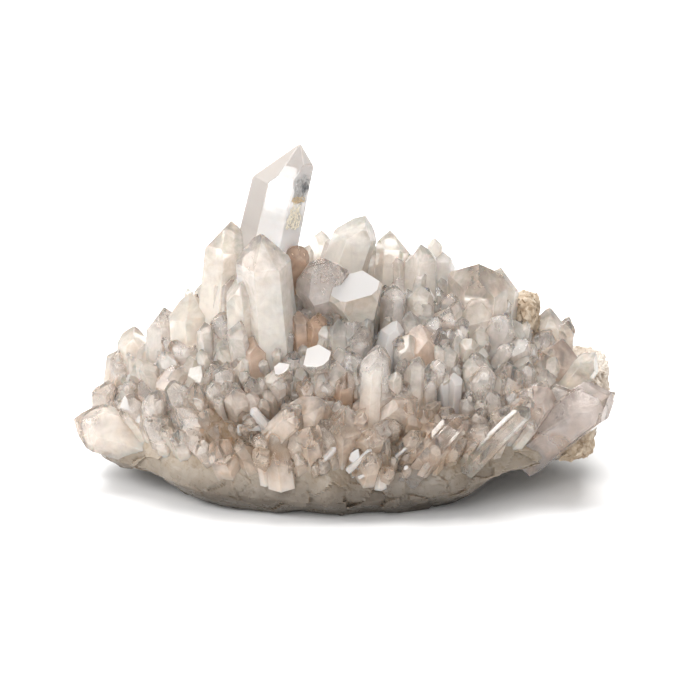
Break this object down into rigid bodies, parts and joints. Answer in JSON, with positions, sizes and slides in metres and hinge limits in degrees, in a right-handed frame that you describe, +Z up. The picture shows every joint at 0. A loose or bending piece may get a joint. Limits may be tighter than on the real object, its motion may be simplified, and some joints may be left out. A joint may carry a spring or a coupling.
{
  "type": "quartz crystal cluster",
  "caption": "Natural quartz cluster: cream-white crystals on a milky quartz mass, a tall clear point above them and remnants of host rock, on a flat cut foot.",
  "frame": {"origin": "on the surface it rests on, under the middle of its bounding box", "axes": "+Z up, -Y towards the showing side, +X along its length to the right as seen from the showing side"},
  "size_m": [0.1501, 0.104, 0.098],
  "materials": {
    "quartz": "glossy, milky and part clear",
    "host_rock": "rough granular"
  },
  "bodies": {
    "root": {"quartz_cluster": "quartz", "host_rock_rim": "host_rock", "host_rock_low": "host_rock", "host_rock_crest": "host_rock"}
  },
  "joints": []
}
